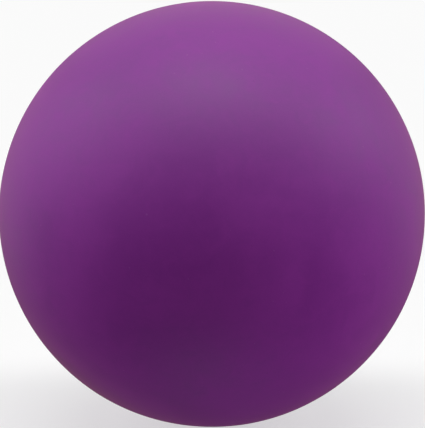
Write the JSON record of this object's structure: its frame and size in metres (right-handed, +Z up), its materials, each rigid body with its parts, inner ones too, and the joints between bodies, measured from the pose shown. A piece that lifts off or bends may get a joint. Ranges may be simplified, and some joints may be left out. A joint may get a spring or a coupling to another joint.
{
  "type": "massage ball",
  "caption": "Smooth firm massage ball: a soft silicone cover bonded round a hard rubber core, with a buffed seam and a small resting flat.",
  "frame": {"origin": "middle of the flat that the ball rests on", "axes": "+Z up through the ball's centre, -Y towards the front half shell, square to the seam's plane"},
  "size_m": [0.0634, 0.0636, 0.0634],
  "materials": {
    "cover_silicone": "satin",
    "seam_adhesive": "satin",
    "core_rubber": "matte"
  },
  "bodies": {
    "root": {"half_shell_front": "cover_silicone", "half_shell_back": "cover_silicone", "seam_adhesive": "seam_adhesive", "firm_core": "core_rubber"}
  },
  "joints": []
}
